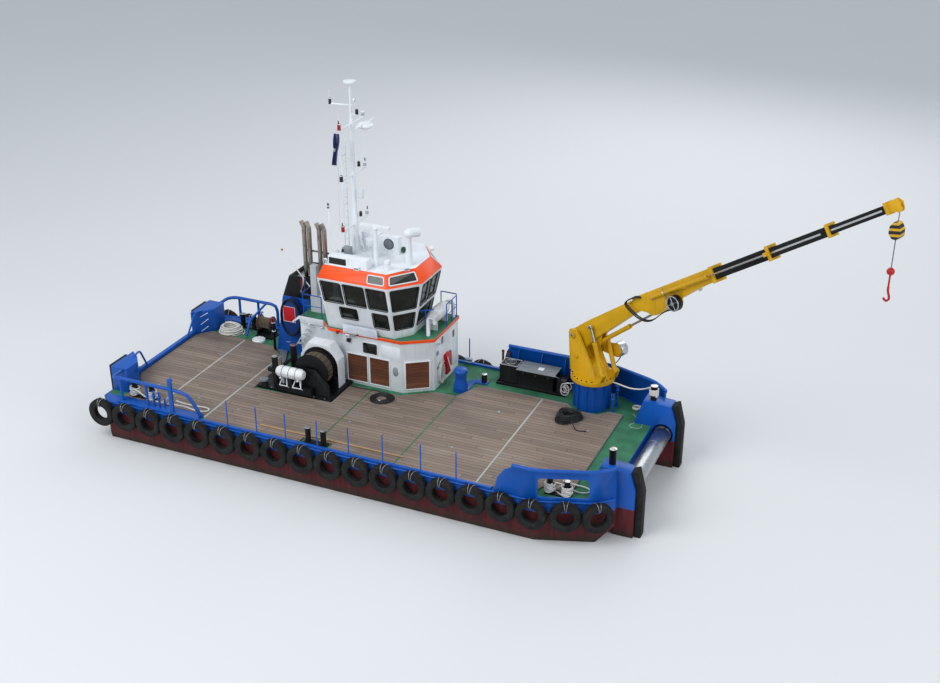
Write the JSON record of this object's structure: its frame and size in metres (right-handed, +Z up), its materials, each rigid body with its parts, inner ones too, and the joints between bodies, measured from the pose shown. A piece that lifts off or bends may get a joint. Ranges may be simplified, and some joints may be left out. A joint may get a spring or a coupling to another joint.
{
  "type": "crane workboat",
  "caption": "Shallow-draught steel workboat with a knuckle-boom deck crane, raised wheelhouse, tow winch, bow roller and tyre fenders.",
  "frame": {"origin": "on the flat bottom, midships, on the centreline", "axes": "+X towards the bow, +Y to port, +Z up"},
  "size_m": [30.4373, 9.76, 15.83],
  "materials": {
    "hull_paint": "satin",
    "deck_wood": "matt",
    "fender_rubber": "matt",
    "tyre_rubber": "matt",
    "black_paint": "satin",
    "white_paint": "gloss",
    "orange_paint": "satin",
    "crane_yellow": "gloss",
    "bright_steel": "brushed",
    "chromed_rod": "polished",
    "window_glass": "clear",
    "dark_plastic": "matt",
    "white_plastic": "gloss",
    "canvas_cover": "matt",
    "rope_brown": "matt",
    "bronze": "satin",
    "red_paint": "satin"
  },
  "bodies": {
    "boat": {"hull": "hull_paint", "wood_deck": "deck_wood", "side_fenders_starboard": "tyre_rubber", "side_fenders_port": "tyre_rubber", "bow_knee_starboard": "hull_paint", "bow_knee_port": "hull_paint", "knee_fender_starboard": "fender_rubber", "knee_fender_port": "fender_rubber", "stern_works": "hull_paint", "bow_bulwark_starboard": "hull_paint", "bow_bulwark_port": "hull_paint", "side_rail_starboard": "hull_paint", "side_rail_port": "hull_paint", "bitts_mid_starboard": "black_paint", "bitts_aft_starboard": "black_paint", "bitts_bow_starboard": "black_paint", "deckhouse": "white_paint", "wheelhouse": "white_paint", "wheelhouse_glass": "window_glass", "wheelhouse_roof": "orange_paint", "helm_station": "dark_plastic", "mast": "white_paint", "funnel_casing": "hull_paint", "exhaust_pipes": "bright_steel", "upper_rail_fore": "hull_paint", "upper_rail_aft": "hull_paint", "covered_tender": "canvas_cover", "winch_frame": "black_paint", "winch_hood": "white_paint", "life_raft": "white_plastic", "tugger_frame": "black_paint", "capstan_base": "hull_paint", "power_pack": "black_paint", "crane_pedestal": "hull_paint"},
    "roller": {"bow_roller": "bright_steel"},
    "house_door": {"deckhouse_door": "white_paint"},
    "bridge_door": {"wheelhouse_door": "white_paint"},
    "scanner": {"radar_scanner": "white_plastic"},
    "main_drum_starboard": {"winch_drum_starboard": "rope_brown"},
    "main_drum_port": {"winch_drum_port": "rope_brown"},
    "tugger": {"tugger_drum": "rope_brown"},
    "capstan": {"capstan_drum": "hull_paint"},
    "column": {"crane_column": "crane_yellow"},
    "luff_barrels": {"luff_barrel_starboard": "crane_yellow", "luff_barrel_port": "crane_yellow"},
    "luff_rods": {"luff_rod_starboard": "chromed_rod", "luff_rod_port": "chromed_rod"},
    "inner_arm": {"main_boom": "crane_yellow"},
    "fold_barrel": {"jib_barrel": "crane_yellow"},
    "fold_rod": {"jib_rod": "chromed_rod"},
    "outer_arm": {"outer_boom": "crane_yellow"},
    "telescope_1": {"boom_section_1": "black_paint"},
    "telescope_2": {"boom_section_2": "black_paint"},
    "telescope_3": {"boom_section_3": "black_paint"},
    "hook": {"hook_block": "red_paint"},
    "screw_starboard": {"propeller_starboard": "bronze"},
    "screw_port": {"propeller_port": "bronze"},
    "rudder_blade_starboard": {"rudder_starboard": "red_paint"},
    "rudder_blade_port": {"rudder_port": "red_paint"}
  },
  "joints": [
    {"name": "bow_roller_turn", "type": "hinge", "parent": "boat", "child": "roller", "pos_m": [10.61, 0, 3.08], "axis": [0, 1, 0], "continuous": true},
    {"name": "deckhouse_door_swing", "type": "hinge", "parent": "boat", "child": "house_door", "pos_m": [1.03, 3.927, 4.5], "axis": [0, 0, 1], "range_deg": [0, 100]},
    {"name": "wheelhouse_door_swing", "type": "hinge", "parent": "boat", "child": "bridge_door", "pos_m": [-3.478, 2.017, 6.8], "axis": [0, 0, -1], "range_deg": [0, 90]},
    {"name": "radar_turn", "type": "hinge", "parent": "boat", "child": "scanner", "pos_m": [-1.3, 1.25, 10.33], "axis": [0, 0, 1], "continuous": true},
    {"name": "main_drum_starboard_turn", "type": "hinge", "parent": "boat", "child": "main_drum_starboard", "pos_m": [-3.45, -0.38, 4.35], "axis": [0, 1, 0], "continuous": true},
    {"name": "main_drum_port_turn", "type": "hinge", "parent": "boat", "child": "main_drum_port", "pos_m": [-3.45, 0.265, 4.35], "axis": [0, 1, 0], "continuous": true},
    {"name": "tugger_drum_turn", "type": "hinge", "parent": "boat", "child": "tugger", "pos_m": [-8.08, 3.32, 4], "axis": [1, 0, 0], "continuous": true},
    {"name": "capstan_turn", "type": "hinge", "parent": "boat", "child": "capstan", "pos_m": [2.02, 2.08, 3.8], "axis": [0, 0, 1], "continuous": true},
    {"name": "crane_slew", "type": "hinge", "parent": "boat", "child": "column", "pos_m": [7.42, 3.05, 4.62], "axis": [0, 0, 1], "range_deg": [-110, 150]},
    {"name": "crane_luff", "type": "hinge", "parent": "column", "child": "inner_arm", "pos_m": [6.71894, 3.39193, 6.38], "axis": [0.4384, 0.8988, 0], "range_deg": [-30, 22]},
    {"name": "luff_barrel_tilt", "type": "hinge", "parent": "column", "child": "luff_barrels", "pos_m": [8.17499, 2.68177, 5.12], "axis": [0.4384, 0.8988, 0], "range_deg": [-5, 4]},
    {"name": "luff_rod_slide", "type": "slide", "parent": "luff_barrels", "child": "luff_rods", "axis": [-0.3215, 0.1568, 0.9339], "range_m": [-0.42, 0.56]},
    {"name": "crane_knuckle", "type": "hinge", "parent": "inner_arm", "child": "outer_arm", "pos_m": [9.59508, 1.98914, 8.78], "axis": [-0.4384, -0.8988, 0], "range_deg": [-70, 5]},
    {"name": "fold_barrel_tilt", "type": "hinge", "parent": "inner_arm", "child": "fold_barrel", "pos_m": [7.68964, 2.91849, 6.3], "axis": [-0.4384, -0.8988, 0], "range_deg": [-6, 1]},
    {"name": "fold_rod_slide", "type": "slide", "parent": "fold_barrel", "child": "fold_rod", "axis": [0.6965, -0.3397, 0.6321], "range_m": [-0.93, 0.08]},
    {"name": "telescope_1_slide", "type": "slide", "parent": "outer_arm", "child": "telescope_1", "axis": [0.7478, -0.3647, 0.5548], "range_m": [-2.1, 0.15]},
    {"name": "telescope_2_slide", "type": "slide", "parent": "telescope_1", "child": "telescope_2", "axis": [0.7478, -0.3647, 0.5548], "range_m": [-2.1, 0.15]},
    {"name": "telescope_3_slide", "type": "slide", "parent": "telescope_2", "child": "telescope_3", "axis": [0.7478, -0.3647, 0.5548], "range_m": [-2.1, 0.15]},
    {"name": "hook_swing", "type": "hinge", "parent": "telescope_3", "child": "hook", "pos_m": [18.57062, -2.38852, 15.3078], "axis": [0.4384, 0.8988, 0], "range_deg": [-92, 35]},
    {"name": "propeller_starboard_turn", "type": "hinge", "parent": "boat", "child": "screw_starboard", "pos_m": [-9.5, -2.1, 0.8], "axis": [1, 0, 0], "continuous": true},
    {"name": "propeller_port_turn", "type": "hinge", "parent": "boat", "child": "screw_port", "pos_m": [-9.5, 2.1, 0.8], "axis": [1, 0, 0], "continuous": true},
    {"name": "rudder_starboard_turn", "type": "hinge", "parent": "boat", "child": "rudder_blade_starboard", "pos_m": [-10.35, -2.1, 1.5], "axis": [0, 0, 1], "range_deg": [-35, 35]},
    {"name": "rudder_port_turn", "type": "hinge", "parent": "boat", "child": "rudder_blade_port", "pos_m": [-10.35, 2.1, 1.5], "axis": [0, 0, 1], "range_deg": [-35, 35]}
  ],
  "couplings": [
    {"joint": "luff_barrel_tilt", "follows": "crane_luff", "ratio": 0.13},
    {"joint": "luff_rod_slide", "follows": "crane_luff", "m_per_rad": -1.03},
    {"joint": "fold_barrel_tilt", "follows": "crane_knuckle", "ratio": 0.075},
    {"joint": "fold_rod_slide", "follows": "crane_knuckle", "m_per_rad": 0.74},
    {"joint": "telescope_2_slide", "follows": "telescope_1_slide", "ratio": 1},
    {"joint": "telescope_3_slide", "follows": "telescope_1_slide", "ratio": 1},
    {"joint": "rudder_port_turn", "follows": "rudder_starboard_turn", "ratio": 1}
  ]
}
